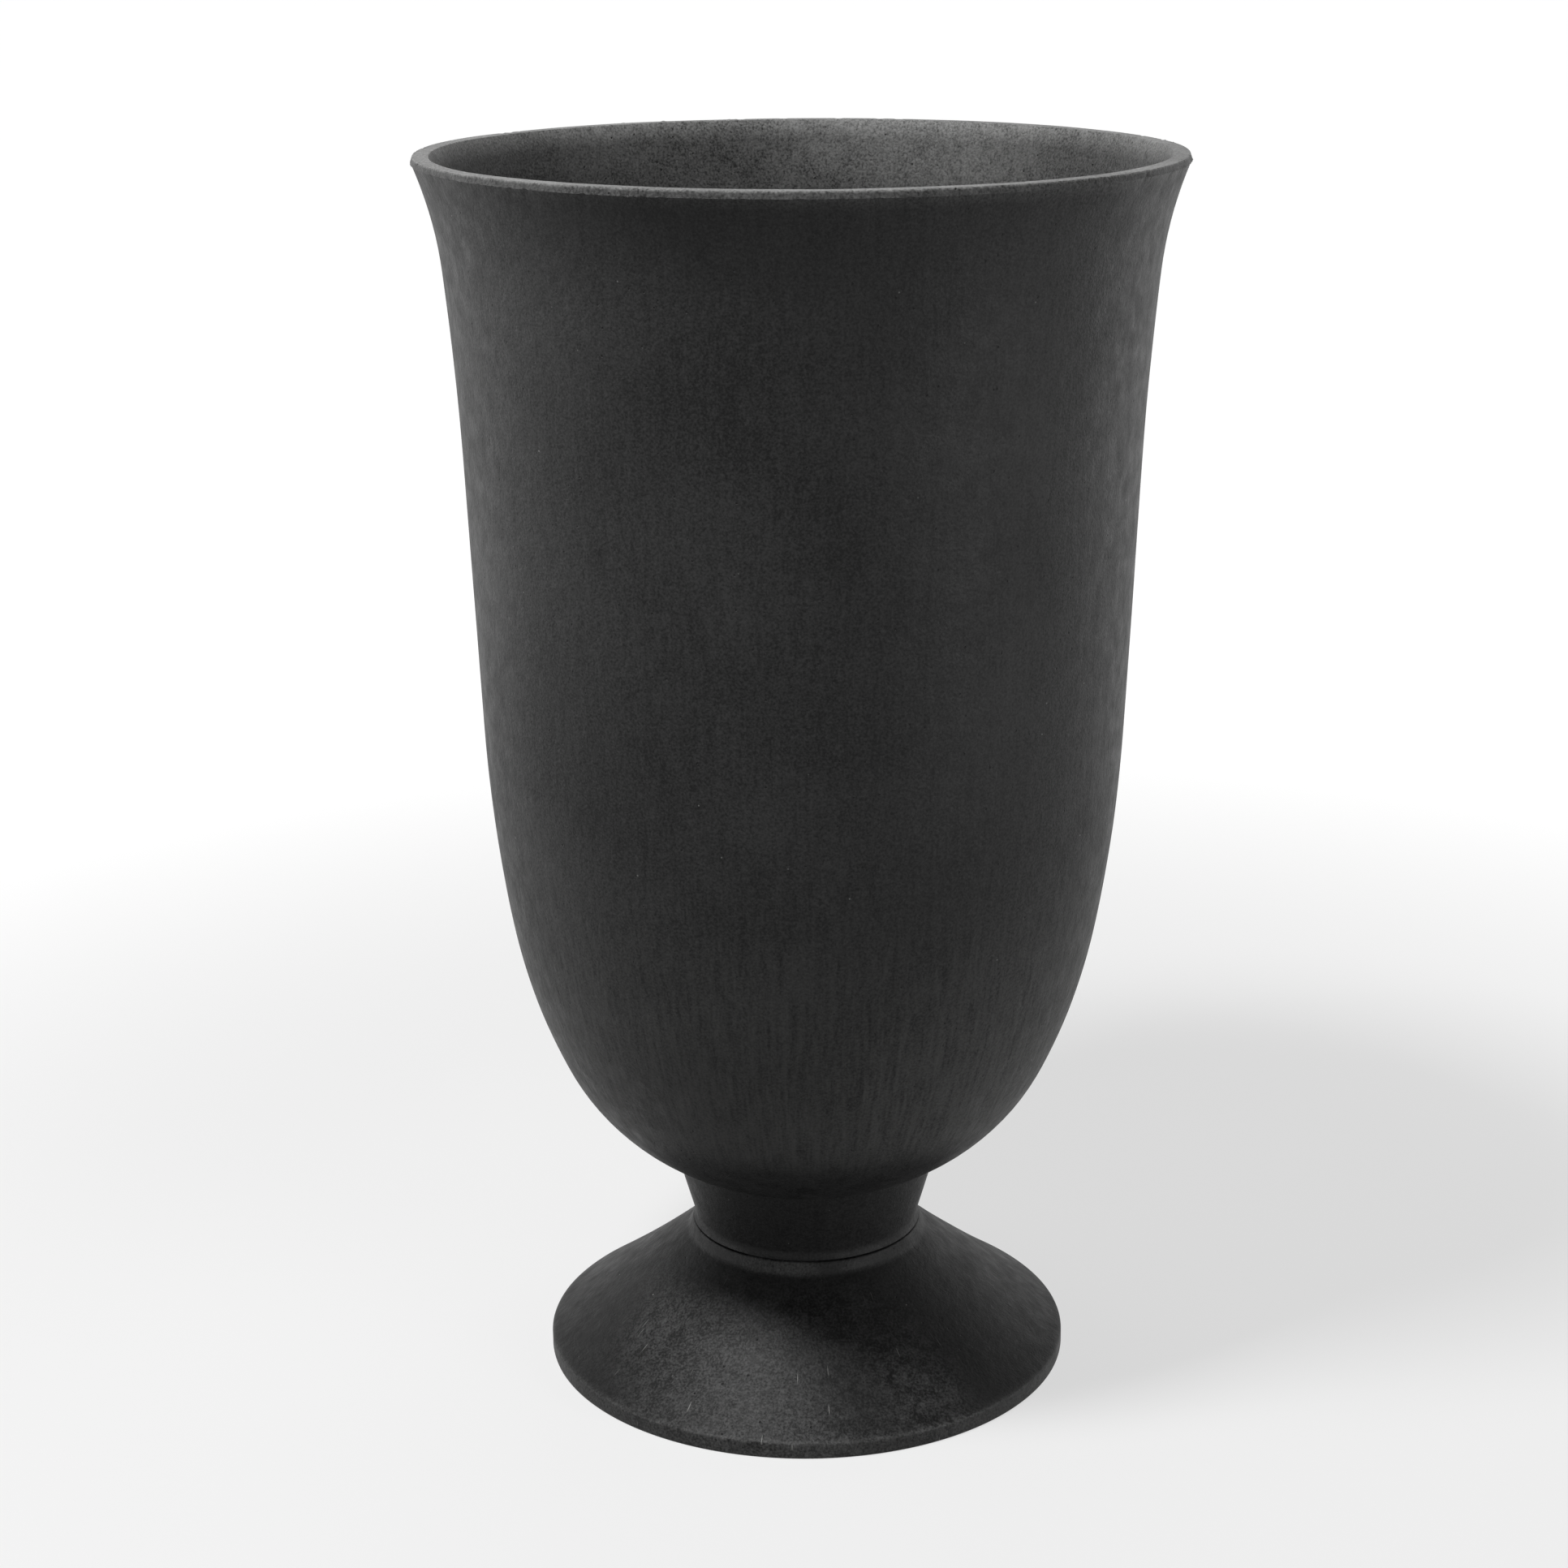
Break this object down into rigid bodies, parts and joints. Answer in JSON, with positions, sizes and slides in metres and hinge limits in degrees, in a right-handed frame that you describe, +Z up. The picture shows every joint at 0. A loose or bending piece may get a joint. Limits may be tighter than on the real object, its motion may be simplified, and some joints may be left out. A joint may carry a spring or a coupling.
{
  "type": "urn planter",
  "caption": "Tall urn planter: flared bowl with a tapering neck, bolted to a separate hollow round pedestal foot, with a plugged drain hole.",
  "frame": {"origin": "centre of the foot's base ring, on the floor", "axes": "+Z up along the urn's axis; the body is round, so +X is simply the side that the drain hole is on"},
  "size_m": [0.4064, 0.4062, 0.6836],
  "materials": {
    "moulded_rubber": "matte charcoal, fine granular moulded skin",
    "zinc_plated_steel": "satin zinc plate",
    "soft_rubber": "satin black"
  },
  "bodies": {
    "planter": {"bowl": "moulded_rubber", "pedestal_foot": "moulded_rubber", "tie_bolt": "zinc_plated_steel", "bowl_seal_washer": "soft_rubber", "bowl_plate_washer": "zinc_plated_steel", "foot_plate_washer": "zinc_plated_steel", "lock_nut": "zinc_plated_steel"},
    "plug": {"drain_plug": "soft_rubber"}
  },
  "joints": [
    {"name": "plug_pull", "type": "slide", "parent": "planter", "child": "plug", "axis": [0, 0, 1], "range_m": [0, 0.03]}
  ]
}
